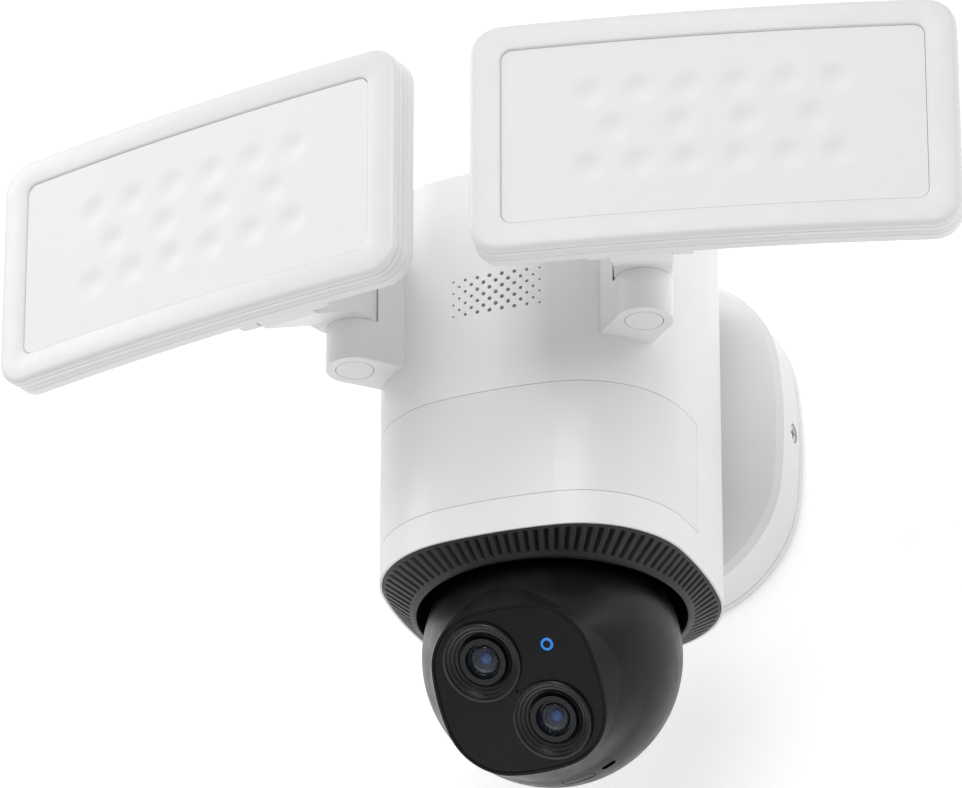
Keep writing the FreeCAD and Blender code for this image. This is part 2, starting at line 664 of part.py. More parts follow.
def make_head_shells():
    """Ball in two shells: the front one has a squircle rim for the face and the card hatch."""
    split = S["head_split"]
    inner = "head_radius - head_wall"
    face = S["face_half"]

    def cutters(tag):
        """The curved way in the top and rear of the ball that the stem moves through."""
        wide = 2 * S["stem_half_x"] + 2.0
        drum = rod(f"SlotDrum{tag}", (-wide / 2, 0, 0), X_AXIS, 60.0, wide)
        core = rod(f"SlotCore{tag}", (-wide / 2 - 1, 0, 0), X_AXIS, 30.0, wide + 2)
        wedge_low = math.radians(-7.0)
        wedge_high = math.radians(96.0)
        far = 90.0
        wedge = pad(f"SlotWedge{tag}", "YZ_Plane", [lines([
            (0, 0), (far * math.sin(wedge_low), far * math.cos(wedge_low)), (far, far),
            (far * math.sin(wedge_high), far * math.cos(wedge_high))])], -wide / 2 - 1, wide + 2)
        return common(f"SlotWay{tag}", cut(f"SlotBand{tag}", drum, core), wedge)

    rim = doc.addObject("Part::Feature", "FaceRim")
    rim.Shape = face_collar(squircle(face + 0.5), 38.2)
    rim.Placement = Placement(ORIGIN, Rotation(X_AXIS, 90))
    solid = fuse("FrontBlank", ball("FrontBall", "head_radius"), rim)
    hollow = ball("FrontHollow", inner)
    rear_half = block("FrontTrim", (-60, split, -60), 120.0, 60.0, 120.0)
    pocket_prism = pad("FacePocket", "XZ_Plane", [squircle(face + 0.25)], 20.0, 40.0)
    shell = cut("FrontShellBody", solid, hollow, rear_half, pocket_prism)
    ledge = pad("FaceLedge", "XZ_Plane", [squircle(face + 0.6), squircle(face - 2.4)],
                FACE_FLOOR - 2.5, 2.4)
    bosses = []
    for label, side in SIDES:
        bosses.append(rod(f"AxleBoss_{label}", (side * 36.0, 0, 0), Vector(side, 0, 0), 7.0, 9.0))
    boss_keep = common("AxleBosses", fuse("AxleBossPair", *bosses),
                       ball("BossBall", "head_radius - 0.8"))
    axle_hole = rod("HeadAxleHole", (-43.0, 0, 0), X_AXIS, "axle_radius", 86.0)
    card_place = radial_frame(CARD_TURN, CARD_LEAN)
    button_place = radial_frame(BUTTON_TURN, BUTTON_LEAN)
    hatch = pad("HatchHole", "XY_Plane", [rounded(6.2, 2.7, 2.0)], -60.0, 20.0)
    hatch.Placement = card_place
    card_bay = block("CardBay", (-7.6, -5.0, -45.2), 15.2, 10.0, 12.0)
    card_bay.Placement = card_place * card_bay.Placement
    bay_way = pad("CardBayWay", "XY_Plane", [rounded(5.6, 2.1, 1.6)], -60.0, 24.0)
    bay_way.Placement = card_place
    button_hole = rod("ButtonHole", (0, 0, -60), Z_AXIS, 1.4, 30.0)
    button_hole.Placement = button_place * button_hole.Placement
    button_recess = pad("ButtonRecess", "XY_Plane", [rounded(2.9, 1.5, 1.4)], -60.0, 14.2)
    button_recess.Placement = button_place
    bay = cut("CardBayShell", card_bay, bay_way)
    whole = fuse("FrontShellWhole", shell, ledge, boss_keep)
    trimmed = common("FrontShellTrimmed", cut("FrontShellCut", whole, cutters("Front"), axle_hole,
                                              hatch, button_hole, button_recess),
                     face_dome("RimDome", 0.3))
    keep(fuse("FrontShell", trimmed, common("CardBayFit", bay, ball("BayBall",
              "head_radius - head_wall + 0.3"))), "head_front_shell", HEAD_PLACE)

    rear_ball = cut("RearBlank", ball("RearBall", "head_radius"), ball("RearHollow", inner),
                    block("RearTrim", (-60, -60, -60), 120.0, 60.0 + split, 120.0))
    keep(cut("RearShell", rear_ball, cutters("Rear")), "head_rear_shell", HEAD_PLACE)

    cap_prism = pad("HatchPrism", "XY_Plane", [rounded(5.9, 2.4, 1.8)], -60.0, 20.0)
    cap_rear = block("HatchRear", (-10.0, CARD_PIN_Y, -60.0), 20.0, 10.0, 30.0)
    cap_way = cut("HatchOutline", cap_prism, cap_rear)
    cap_way.Placement = card_place
    cap = cut("HatchShell", common("HatchCap", ball("HatchOut", "head_radius"), cap_way),
              ball("HatchIn", "head_radius - 1.6"))
    barrel = rod("HatchPin", (-4.6, CARD_PIN_Y, CARD_PIN_Z), X_AXIS, 0.75, 9.2)
    barrel.Placement = card_place * barrel.Placement
    keep(fuse("CardCover", cap, barrel), "card_cover", HEAD_PLACE)

    button = rod("SyncButtonRod", (0, 0, -45.6), Z_AXIS, 1.3, 6.0)
    button.Placement = button_place * button.Placement
    keep(button, "sync_button", HEAD_PLACE)


def make_face():
    """Gloss face plate with the two stepped lens rings, barrels, glasses and the status light."""
    face = S["face_half"]
    prism = pad("FacePrism", "XZ_Plane", [squircle(face)], FACE_FLOOR, 8.0)
    blank = common("FaceBlank", prism, face_dome("FaceDome", 0.0))
    holes = []
    for label, side_x, side_z in LENSES:
        spot = (side_x * S["lens_offset_x"], -20.0, side_z * S["lens_offset_z"])
        holes.append(rod(f"FaceHole_{label}", spot, -Y_AXIS, "lens_radius + 0.1", 30.0))
    holes.append(rod("FaceLightHole", (LIGHT_X, -20.0, LIGHT_Z), -Y_AXIS, 2.5, 30.0))
    holes.append(rod("FaceMicHole", (0, -20.0, 0), -Y_AXIS, 0.5, 30.0))
    keep(cut("FacePlate", blank, *holes), "face_plate", HEAD_PLACE)

    rings, barrels, glasses = [], [], []
    for label, side_x, side_z in LENSES:
        x = side_x * S["lens_offset_x"]
        z = side_z * S["lens_offset_z"]
        body = rod(f"LensRingBody_{label}", (x, -FACE_FLOOR, z), -Y_AXIS, "lens_radius",
                   LENS_FRONT - FACE_FLOOR)
        funnel = size(doc.addObject("Part::Cone", f"LensFunnel_{label}"), Radius1=8.6,
                      Radius2=13.2, Height=3.6)
        funnel.Placement = Placement(Vector(x, 3.5 - LENS_FRONT, z), Rotation(Z_AXIS, -Y_AXIS))
        bore = rod(f"LensRingBore_{label}", (x, -30.0, z), -Y_AXIS, 8.6, 20.0)
        rings.append(cut(f"LensRing_{label}", body, funnel, bore))
        barrel = rod(f"LensBarrelOut_{label}", (x, -19.4, z), -Y_AXIS, 8.5, 21.2)
        barrel_in = rod(f"LensBarrelIn_{label}", (x, -33.5, z), -Y_AXIS, 6.6, 9.0)
        barrels.append(cut(f"LensBarrel_{label}", barrel, barrel_in))
        front_ball = ball(f"LensDome_{label}", 9.0)
        front_ball.Placement = Placement(Vector(x, -32.3, z), Rotation())
        disc = rod(f"LensDisc_{label}", (x, -33.5, z), -Y_AXIS, 6.6, 9.0)
        glasses.append(common(f"LensGlass_{label}", front_ball, disc))
    keep(fuse("LensRings", *rings), "lens_rings", HEAD_PLACE)
    keep(fuse("LensBarrels", *barrels), "lens_barrels", HEAD_PLACE)
    keep(fuse("LensGlasses", *glasses), "lens_glasses", HEAD_PLACE)

    keep(tube("StatusLight", (LIGHT_X, -FACE_FLOOR, LIGHT_Z), -Y_AXIS, 2.46, 1.34, 3.0),
         "status_light", HEAD_PLACE)

    board = pad("CameraBoardPlate", "XZ_Plane", [squircle(24.0)], 17.8, 1.6)
    keep(board, "camera_board", HEAD_PLACE)

    gear = pad("TiltGear", "YZ_Plane",
               [involute_wire(TILT_GEAR_TEETH, TILT_MODULE, GEAR_BACKLASH),
                [Part.Circle(ORIGIN, Z_AXIS, S["axle_radius"])]], 0.0, 4.6)
    gear_place = PAN_PLACE * Placement(Vector(13.6, 0, 0), Rotation(X_AXIS, 90.0))
    keep(gear, "tilt_gear", gear_place)
    keep(rod("TiltAxle", (-42.9, 0, 0), X_AXIS, "axle_radius", 85.8), "tilt_axle", HEAD_PLACE)


# ---------------------------------------------------------------- lamps
def lamp_place(side):
    """Frame of one lamp: its hinge axis at the origin, heights counted from the floor."""
    return Placement(Vector(side * S["hinge_x"], AXIS_Y + S["hinge_y"], FLOOR),
                     Rotation(Z_AXIS, side * S["lamp_yaw"]))


def make_bracket(label, side):
    """Fixed bracket on the housing's front corner, with its pin, washer and bottom cap."""
    low = S["bracket_low"]
    top = low + S["bracket_tall"]
    radius = S["knuckle_radius"]
    corner = Placement(Vector(side * S["hinge_x"], AXIS_Y + S["hinge_y"], FLOOR),
                       Rotation(Z_AXIS, 135.0 if side > 0 else 45.0))
    lower = rod(f"BracketRound_{label}", (0, 0, low), Z_AXIS, "knuckle_radius", "bracket_tall")
    bar = block(f"BracketBar_{label}", (0, -S["bracket_half"], low), 22.0, "2 * bracket_half",
                "bracket_tall")
    wall = block(f"BracketWall_{label}", (2.0, -S["bracket_half"], top), 20.0,
                 "2 * bracket_half", 30.0)
    sweep = rod(f"BracketSweep_{label}", (0, 0, top), Z_AXIS, radius + 0.7, 31.0)
    cap_seat = rod(f"BracketCapSeat_{label}", (0, 0, low - 1), Z_AXIS, 7.05, 2.2)
    pin_hole = rod(f"BracketPinHole_{label}", (0, 0, low), Z_AXIS, "hinge_pin", 40.0)
    whole = cut(f"BracketRaw_{label}", fuse(f"BracketBlank_{label}", lower, bar, wall), sweep,
                cap_seat, pin_hole)
    whole.Placement = corner
    housing = pad(f"BracketShaper_{label}", "XY_Plane", [squircle(S["body_half"])], 0.0,
                  "body_tall")
    housing.Placement = BODY_PLACE
    keep(cut(f"Bracket_{label}", whole, housing), f"{label}_bracket")

    place = lamp_place(side)
    keep(rod(f"HingeCap_{label}", (0, 0, low), Z_AXIS, 6.8, 1.1), f"{label}_hinge_cap", place)
    shank = rod(f"YawPinShank_{label}", (0, 0, low + 1.2), Z_AXIS, "hinge_pin",
                S["knuckle_top"] - low - 1.2)
    head = rod(f"YawPinHead_{label}", (0, 0, S["knuckle_top"]), Z_AXIS, 7.0, 2.4)
    keep(fuse(f"YawPin_{label}", shank, head), f"{label}_yaw_pin", place)
    keep(tube(f"Washer_{label}", (0, 0, top), Z_AXIS, 10.4, 4.2, 0.4), f"{label}_friction_washer",
         place)


def make_arm(label, side):
    """Turning arm: knuckle on the yaw pin, neck sloping forward, tongue on the tilt pin."""
    low = S["bracket_low"] + S["bracket_tall"] + 0.4
    top = S["knuckle_top"]
    tilt_y = S["tilt_y"]
    tilt_z = S["tilt_z"]
    eye = S["ear_radius"] - 0.4
    half = S["clevis_gap"] - 0.2
    middle = side * S["clevis_x"]
    knuckle = rod(f"Knuckle_{label}", (0, 0, low), Z_AXIS, "knuckle_radius", top - low)
    profile = lines([(tilt_y, tilt_z - eye), (tilt_y + 5.0, tilt_z - eye), (-12.0, low),
                     (-4.0, low), (-4.0, top), (-16.0, top - 2.0), (tilt_y + 2.0, tilt_z + eye),
                     (tilt_y, tilt_z + eye)])
    side_on = pad(f"NeckSide_{label}", "YZ_Plane", [profile], middle - 2 * half, 4 * half)
    end = S["knuckle_radius"]
    plan = lines([(middle - half, tilt_y - 1.0), (middle + half, tilt_y - 1.0),
                  (middle + half, tilt_y + eye), (end, -2.0), (-end, -2.0),
                  (middle - half, tilt_y + eye)])
    from_above = pad(f"NeckPlan_{label}", "XY_Plane", [plan], tilt_z - 40.0, 80.0)
    neck = common(f"Neck_{label}", side_on, from_above)
    tongue = rod(f"Tongue_{label}", (middle - half, tilt_y, tilt_z), X_AXIS, eye, 2 * half)
    yaw_bore = rod(f"ArmYawBore_{label}", (0, 0, low - 1), Z_AXIS, "hinge_pin + fit_gap", 60.0)
    tilt_bore = rod(f"ArmTiltBore_{label}", (middle - 30, tilt_y, tilt_z), X_AXIS,
                    "tilt_pin + fit_gap", 60.0)
    keep(cut(f"Arm_{label}", fuse(f"ArmBlank_{label}", knuckle, neck, tongue), yaw_bore,
             tilt_bore), f"{label}_arm", lamp_place(side))


def bent_layer(tag, side, near, far, outline_half, corner):
    """A slice of the lamp between two depths behind its bowed front, cut to an outline."""
    x = side * S["lamp_x"]
    centre = (x, S["lamp_front"] + S["lamp_bend"], S["lamp_z"] - 60.0)
    outer = rod(f"{tag}_outer", centre, Z_AXIS, f"lamp_bend - {near}", 120.0)
    inner = rod(f"{tag}_inner", centre, Z_AXIS, f"lamp_bend - {far}", 120.0)
    half_x, half_z = outline_half
    outline = pad(f"{tag}_outline", "XZ_Plane",
                  [rounded(half_x, half_z, corner, x, S["lamp_z"])], -S["lamp_front"] - 30.0, 45.0)
    return common(tag, cut(f"{tag}_band", outer, inner), outline)


def bow(from_middle):
    """How far the bowed lamp falls back at a distance from its middle."""
    return S["lamp_bend"] - math.sqrt(S["lamp_bend"] ** 2 - from_middle ** 2)


def make_lamp(label, side):
    """Lamp head: front bezel, diffuser, seal, LED board, LEDs, rear shell and tilt clevis."""
    place = lamp_place(side)
    half_x = S["lamp_half_x"]
    half_z = S["lamp_half_z"]
    corner = S["lamp_corner"]
    front = S["lamp_front"]
    depth = S["lamp_depth"]
    seam_depth = S["bezel_depth"] + 0.3

    bezel = bent_layer(f"BezelBody_{label}", side, 0.0, S["bezel_depth"], (half_x, half_z),
                       corner)
    view = bent_layer(f"BezelView_{label}", side, -1.0, 2.2, (S["view_half_x"], S["view_half_z"]),
                      4.0)
    room = bent_layer(f"BezelRoom_{label}", side, 2.2, S["bezel_depth"] + 1.0,
                      (half_x - 2.2, half_z - 2.2), corner - 2.2)
    keep(cut(f"Bezel_{label}", bezel, view, room), f"{label}_lamp_bezel", place)
    keep(bent_layer(f"Diffuser_{label}", side, 2.2, 4.2, (half_x - 2.5, half_z - 2.5),
                    corner - 2.5), f"{label}_lamp_diffuser", place)
    seal_out = bent_layer(f"SealOut_{label}", side, 4.2, 8.0, (half_x - 3.6, half_z - 3.6),
                          corner - 3.6)
    seal_in = bent_layer(f"SealIn_{label}", side, 4.0, 8.2, (half_x - 6.0, half_z - 6.0),
                         corner - 6.0)
    keep(cut(f"Seal_{label}", seal_out, seal_in), f"{label}_lamp_seal", place)
    keep(bent_layer(f"LedBoard_{label}", side, 7.0, 8.6, (half_x - 7.0, half_z - 7.0), 5.0),
         f"{label}_led_board", place)

    leds = []
    rows = ((-S["led_rows"], 6, S["led_pitch"]), (0.0, 4, S["led_mid_pitch"]),
            (S["led_rows"], 6, S["led_pitch"]))
    for height, count, pitch in rows:
        for index in range(count):
            across = (index - (count - 1) / 2) * pitch
            start = (side * S["lamp_x"] + across, front + 6.6 + bow(across),
                     S["lamp_z"] + height)
            leds.append(rod(f"Led{len(leds)}_{label}", start, -Y_AXIS, 4.2, 2.0))
    keep(fuse(f"LedGroup_{label}", *leds), f"{label}_leds", place)

    back = bent_layer(f"BackBody_{label}", side, seam_depth, depth, (half_x - 0.9, half_z - 0.9),
                      corner - 0.9)
    back_room = bent_layer(f"BackRoom_{label}", side, seam_depth - 1.0, depth - 2.6,
                           (half_x - 3.6, half_z - 3.6), corner - 3.6)
    keep(cut(f"LampBack_{label}", back, back_room), f"{label}_lamp_back", place)

    middle = side * S["clevis_x"]
    tilt_y = S["tilt_y"]
    tilt_z = S["tilt_z"]
    reach = S["ear_radius"]
    pad_low = tilt_z - reach
    ears = []
    for which, sign in (("in", -1), ("out", 1)):
        start = middle + (S["clevis_gap"] if sign > 0 else -S["clevis_gap"] - S["ear_thick"])
        ears.append(rod(f"EarRound_{which}_{label}", (start, tilt_y, tilt_z), X_AXIS,
                        "ear_radius", "ear_thick"))
        ears.append(block(f"EarBar_{which}_{label}", (start, tilt_y - 14.0, pad_low),
                          "ear_thick", 14.0, "2 * ear_radius + 4"))
    foot_half = S["clevis_gap"] + S["ear_thick"]
    foot = block(f"ClevisFoot_{label}", (middle - foot_half, tilt_y - 14.0, tilt_z + reach + 1.0),
                 2 * foot_half, 9.0, 17.0)
    inside = rod(f"ClevisInside_{label}",
                 (side * S["lamp_x"], front + S["lamp_bend"], S["lamp_z"] - 60.0), Z_AXIS,
                 "lamp_bend - lamp_depth", 120.0)
    raw = common(f"ClevisRaw_{label}", fuse(f"ClevisBlank_{label}", foot, *ears), inside)
    bore = rod(f"ClevisBore_{label}", (middle - 30, tilt_y, tilt_z), X_AXIS, "tilt_pin", 60.0)
    keep(cut(f"Clevis_{label}", raw, bore), f"{label}_lamp_clevis", place)
    keep(rod(f"TiltPin_{label}", (middle - foot_half + 0.6, tilt_y, tilt_z), X_AXIS, "tilt_pin",
             2 * foot_half - 1.2), f"{label}_tilt_pin", place)


# ---------------------------------------------------------------- build and write
def check_and_write():
    """Stops on any failed object, then writes each sub-part to its own file."""
    doc.recompute()
    broken = [item.Name for item in doc.Objects
              if "Invalid" in item.State or "Error" in item.State]
    if broken:
        raise RuntimeError(f"objects failed: {broken}")
    os.makedirs("parts", exist_ok=True)
    for part in nodes:
        shape = part.Shape
        if shape.isNull() or not shape.isValid() or not shape.Solids:
            raise RuntimeError(f"{part.Label} has no valid solid")
        shape.exportStep(f"parts/{part.Label}.step")
        box = shape.BoundBox
        print(f"{part.Label:24s} solids {len(shape.Solids):3d} volume {shape.Volume:10.1f} "
              f"x {box.XMin:7.1f} {box.XMax:7.1f} y {box.YMin:7.1f} {box.YMax:7.1f} "
              f"z {box.ZMin:7.1f} {box.ZMax:7.1f}")
    print(f"{len(nodes)} sub-parts")


make_wall_base()
make_collar_and_screws()
make_housing()
make_vent_ring()
make_housing_internals()
make_pan_carrier()
make_head_shells()
make_face()
for side_label, side_sign in SIDES:
    make_bracket(side_label, side_sign)
    make_arm(side_label, side_sign)
    make_lamp(side_label, side_sign)
check_and_write()
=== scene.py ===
import json
import math

import bmesh
import bpy
from mathutils import Matrix, Vector


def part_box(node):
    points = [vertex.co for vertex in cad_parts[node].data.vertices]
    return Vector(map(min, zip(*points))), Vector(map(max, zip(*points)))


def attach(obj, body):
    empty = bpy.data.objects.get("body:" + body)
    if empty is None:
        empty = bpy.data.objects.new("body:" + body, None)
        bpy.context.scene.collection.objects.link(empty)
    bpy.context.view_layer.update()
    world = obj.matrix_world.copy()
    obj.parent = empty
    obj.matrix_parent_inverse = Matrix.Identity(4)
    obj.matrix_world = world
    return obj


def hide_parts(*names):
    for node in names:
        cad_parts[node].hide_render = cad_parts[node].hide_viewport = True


# Floodlight security camera: finished shells, lamp covers, vent ring and lenses around the
# CAD frame, with procedural materials. Metres; the wall is at y = 0 and the object on its -Y side.

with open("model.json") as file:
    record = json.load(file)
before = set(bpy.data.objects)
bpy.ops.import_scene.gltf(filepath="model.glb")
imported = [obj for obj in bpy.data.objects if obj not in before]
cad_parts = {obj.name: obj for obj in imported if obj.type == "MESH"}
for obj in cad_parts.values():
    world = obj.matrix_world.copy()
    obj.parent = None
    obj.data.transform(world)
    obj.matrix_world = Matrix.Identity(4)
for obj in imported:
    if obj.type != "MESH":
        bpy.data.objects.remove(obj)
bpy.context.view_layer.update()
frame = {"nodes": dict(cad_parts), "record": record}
NODES = frame["nodes"]
MM = 0.001
SIDES = (("left", -1), ("right", 1))


# ---------------------------------------------------------------- materials
def new_material(name, colour, roughness, **sockets):
    """A node material with its even values set on the shader's own sockets."""
    material = bpy.data.materials.new(name)
    material.use_nodes = True
    shader = material.node_tree.nodes["Principled BSDF"]
    shader.inputs["Base Color"].default_value = (*colour, 1.0)
    shader.inputs["Roughness"].default_value = roughness
    for socket, value in sockets.items():
        shader.inputs[socket.replace("_", " ")].default_value = value
    return material, shader


def object_noise(material, scale, detail, stretch=(1.0, 1.0, 1.0)):
    """A noise texture in the object's own metres, stretched along an axis if asked."""
    nodes, links = material.node_tree.nodes, material.node_tree.links
    place = nodes.new("ShaderNodeTexCoord")
    mapping = nodes.new("ShaderNodeMapping")
    mapping.inputs["Scale"].default_value = stretch
    noise = nodes.new("ShaderNodeTexNoise")
    noise.inputs["Scale"].default_value = scale
    noise.inputs["Detail"].default_value = detail
    links.new(place.outputs["Object"], mapping.inputs["Vector"])
    links.new(mapping.outputs["Vector"], noise.inputs["Vector"])
    return noise


def ramp(material, source, low, high):
    """Maps a 0 to 1 texture value between two colours or two grey levels."""
    nodes, links = material.node_tree.nodes, material.node_tree.links
    colours = nodes.new("ShaderNodeValToRGB")
    colours.color_ramp.elements[0].position = 0.3
    colours.color_ramp.elements[1].position = 0.7
    colours.color_ramp.elements[0].color = (*low, 1.0)
    colours.color_ramp.elements[1].color = (*high, 1.0)
    links.new(source, colours.inputs["Fac"])
    return colours.outputs["Color"]


def add_bump(material, shader, height, strength, distance):
    """Fine surface relief."""
    nodes, links = material.node_tree.nodes, material.node_tree.links
    bump = nodes.new("ShaderNodeBump")
    bump.inputs["Strength"].default_value = strength
    bump.inputs["Distance"].default_value = distance
    links.new(height, bump.inputs["Height"])
    links.new(bump.outputs["Normal"], shader.inputs["Normal"])


def finished(name, colour, roughness, spread=0.012, grain=9000.0, relief=0.12, depth=0.00003,
             stretch=(1.0, 1.0, 1.0), **sockets):
    """A moulded, painted or machined finish: cloudy colour, uneven gloss and fine grain."""
    material, shader = new_material(name, colour, roughness, **sockets)
    links = material.node_tree.links
    cloud = object_noise(material, 22.0, 3.0)
    low = [max(0.0, part - spread) for part in colour]
    high = [min(1.0, part + spread) for part in colour]
    links.new(ramp(material, cloud.outputs["Fac"], low, high), shader.inputs["Base Color"])
    gloss = object_noise(material, 160.0, 4.0, stretch)
    rough_low = (max(0.02, roughness - 0.05),) * 3
    rough_high = (min(1.0, roughness + 0.05),) * 3
    links.new(ramp(material, gloss.outputs["Fac"], rough_low, rough_high),
              shader.inputs["Roughness"])
    if relief:
        fine = object_noise(material, grain, 2.0, stretch)
        add_bump(material, shader, fine.outputs["Fac"], relief, depth)
    return material


WHITE = (0.83, 0.835, 0.84)
MATERIALS = {
    "white_plastic": finished("white_moulded_plastic", WHITE, 0.42),
    "window_plastic": finished("sensor_window_plastic", (0.80, 0.805, 0.81), 0.34, relief=0.05),
    "white_metal": finished("white_powder_coat", (0.79, 0.795, 0.80), 0.5, grain=3500.0,
                            relief=0.3, depth=0.00005),
    "lamp_bezel": finished("lamp_bezel_plastic", (0.80, 0.805, 0.81), 0.38),
    "black_plastic": finished("black_moulded_plastic", (0.008, 0.0095, 0.0105), 0.42,
                              spread=0.002, relief=0.15, Specular_IOR_Level=0.4),
    "dark_plastic": finished("dark_inner_plastic", (0.02, 0.021, 0.023), 0.55, spread=0.004),
    "head_plastic": finished("satin_black_ball", (0.0022, 0.0030, 0.0034), 0.34, spread=0.0008,
                             relief=0.06, Specular_IOR_Level=0.28),
    "gloss_black": finished("gloss_black_face", (0.004, 0.004, 0.005), 0.3, spread=0.001,
                            relief=0.0, Specular_IOR_Level=0.3),
    "lens_ring_black": finished("lens_ring_black", (0.006, 0.007, 0.008), 0.24, spread=0.002,
                                relief=0.05),
    "grey_rubber": finished("grey_rubber", (0.12, 0.12, 0.125), 0.8, relief=0.4),
    "steel": finished("zinc_plated_steel", (0.60, 0.61, 0.63), 0.32, spread=0.03,
                      stretch=(1.0, 1.0, 8.0), Metallic=1.0),
    "motor_metal": finished("motor_can_metal", (0.46, 0.47, 0.48), 0.38, spread=0.03,
                            stretch=(1.0, 1.0, 6.0), Metallic=1.0),
    "cream_plastic": finished("cream_terminal_plastic", (0.72, 0.68, 0.52), 0.5),
    "gear_plastic": finished("acetal_gear_plastic", (0.75, 0.74, 0.70), 0.45),
    "circuit_board": finished("green_solder_resist", (0.02, 0.13, 0.06), 0.3, spread=0.02),
    "circuit_board_white": finished("white_solder_resist", (0.82, 0.82, 0.81), 0.35),
    "led_lens": finished("led_dome_silicone", (0.85, 0.80, 0.55), 0.25, spread=0.03),
    # Frosted lamp cover: its faint white emission is painted glow, light shown shining through the
    # cover although the lamp is off
    "diffuser": finished("frosted_lamp_cover_painted_glow", (0.84, 0.845, 0.85), 0.55, spread=0.004,
                         relief=0.0, Specular_IOR_Level=0.35, Emission_Color=(1.0, 1.0, 1.0, 1.0),
                         Emission_Strength=0.02),
    "lens_glass": finished("coated_lens_glass", (0.75, 0.82, 0.95), 0.06, spread=0.01,
                           relief=0.0, Transmission_Weight=1.0, IOR=1.38),
    "iris_black": finished("lens_iris_black", (0.012, 0.016, 0.020), 0.22, spread=0.002,
                           relief=0.02),
    "pupil_blue": finished("coated_lens_pupil", (0.02, 0.10, 0.30), 0.12, spread=0.004,
                           relief=0.0, Coat_Weight=1.0, Coat_Roughness=0.03),
    "blue_light": finished("blue_status_light", (0.02, 0.16, 0.55), 0.3, spread=0.01,
                           relief=0.0, Emission_Color=(0.05, 0.35, 1.0, 1.0),
                           Emission_Strength=0.35),
}

for entry in frame["record"]["subparts"]:
    node = NODES[entry["node"]]
    node.data.materials.clear()
    slot = entry["material_slot"]
    node.data.materials.append(MATERIALS.get(slot, MATERIALS["white_plastic"]))

# ---------------------------------------------------------------- mesh helpers
def make_piece(name, points, faces, material, smooth_below=32.0):
    """A mesh object in the shared frame, smooth except across its sharp edges."""
    mesh = bpy.data.meshes.new(name)
    mesh.from_pydata([tuple(point) for point in points], [], faces)
    shape = bmesh.new()
    shape.from_mesh(mesh)
    bmesh.ops.recalc_face_normals(shape, faces=shape.faces)
    limit = math.radians(smooth_below)
    for edge in shape.edges:
        edge.smooth = edge.is_manifold and edge.calc_face_angle(0.0) < limit
    for face in shape.faces:
        face.smooth = True
    shape.to_mesh(mesh)
    shape.free()
    piece = bpy.data.objects.new(name, mesh)
    bpy.context.scene.collection.objects.link(piece)
    piece.data.materials.append(material)
    return piece


def ring_faces(rings, around):
    """Quads between neighbouring rings of points, the last ring joined to the first."""
    faces = []
    for ring in range(rings):
        for step in range(around):
            after = (step + 1) % around
            above = (ring + 1) % rings
            faces.append((ring * around + step, ring * around + after,
                          above * around + after, above * around + step))
    return faces


def lathe(profile, place, around=96):
    """Points and faces of a closed profile of (radius, reach) turned about a local -Y axis."""
    points = []
    for radius, reach in profile:
        for step in range(around):
            turn = 2 * math.pi * step / around
            points.append(place @ Vector((radius * math.cos(turn) * MM, -reach * MM,
                                          radius * math.sin(turn) * MM)))
    return points, ring_faces(len(profile), around)


def join_parts(parts):
    """Joins several (points, faces) pairs into one."""
    points, faces = [], []
    for some_points, some_faces in parts:
        offset = len(points)
        points += some_points
        faces += [tuple(index + offset for index in face) for face in some_faces]
    return points, faces


def squircle_reach(half, turn):
    """Distance from the middle to a squircle's outline at an angle, in millimetres."""
    side, diagonal = 3.0 * half, 1.0992 * half
    far, reach = side - half, side - diagonal
    centre = (reach ** 2 - far ** 2) / (2 * far - 2 * math.sqrt(2) * reach)
    corner = diagonal - centre * math.sqrt(2)
    turn = abs((turn + math.pi / 4) % (math.pi / 2) - math.pi / 4)
    flat = -far * math.cos(turn) + math.sqrt(side ** 2 - (far * math.sin(turn)) ** 2)
    if math.atan2(flat * math.sin(turn), flat * math.cos(turn) + far) <= math.atan2(
            centre, centre + far):
        return flat
    lean = turn - math.pi / 4
    middle = centre * math.sqrt(2)
    return middle * math.cos(lean) + math.sqrt(corner ** 2 - (middle * math.sin(lean)) ** 2)


def rounded_outline(half_x, half_z, corner, along=22, across=12, bend=9):
    """Evenly indexed points of a rounded rectangle, the same count for every size."""
    points = []
    corners = ((1, 1, 0.0), (-1, 1, 90.0), (-1, -1, 180.0), (1, -1, 270.0))
    for index, (sign_x, sign_z, start) in enumerate(corners):
        for step in range(bend):
            turn = math.radians(start + 90.0 * step / (bend - 1))
            points.append((sign_x * (half_x - corner) + corner * math.cos(turn),
                           sign_z * (half_z - corner) + corner * math.sin(turn)))
        next_x, next_z, next_start = corners[(index + 1) % 4]
        count = along if index % 2 == 0 else across
        turn = math.radians(next_start)
        goal = (next_x * (half_x - corner) + corner * math.cos(turn),
                next_z * (half_z - corner) + corner * math.sin(turn))
        begin = points[-1]
        for step in range(1, count):
            part = step / count
            points.append((begin[0] + (goal[0] - begin[0]) * part,
                           begin[1] + (goal[1] - begin[1]) * part))
    return points


# ---------------------------------------------------------------- places in the CAD frame
ring_low, ring_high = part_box("vent_ring")
AXIS_Y = (ring_low.y + ring_high.y) / 2
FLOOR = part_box("main_housing")[0].z
HEAD_DROP = 23.7
HINGE_REACH = 55.6
LAMP_YAW = math.radians(13.0)
HEAD_PAN = math.radians(-3.5)
HEAD_TILT = math.radians(40.3)
HEAD_PLACE = (Matrix.Translation((0.0, AXIS_Y, FLOOR - HEAD_DROP * MM))
              @ Matrix.Rotation(HEAD_PAN, 4, "Z") @ Matrix.Rotation(HEAD_TILT, 4, "X"))
BODY_PLACE = Matrix.Translation((0.0, AXIS_Y, FLOOR))


def lamp_frame(side):
    """The lamp's own frame: its yaw axis is local Z."""
    return (Matrix.Translation((side * HINGE_REACH * MM, AXIS_Y - HINGE_REACH * MM, FLOOR))
            @ Matrix.Rotation(side * LAMP_YAW, 4, "Z"))


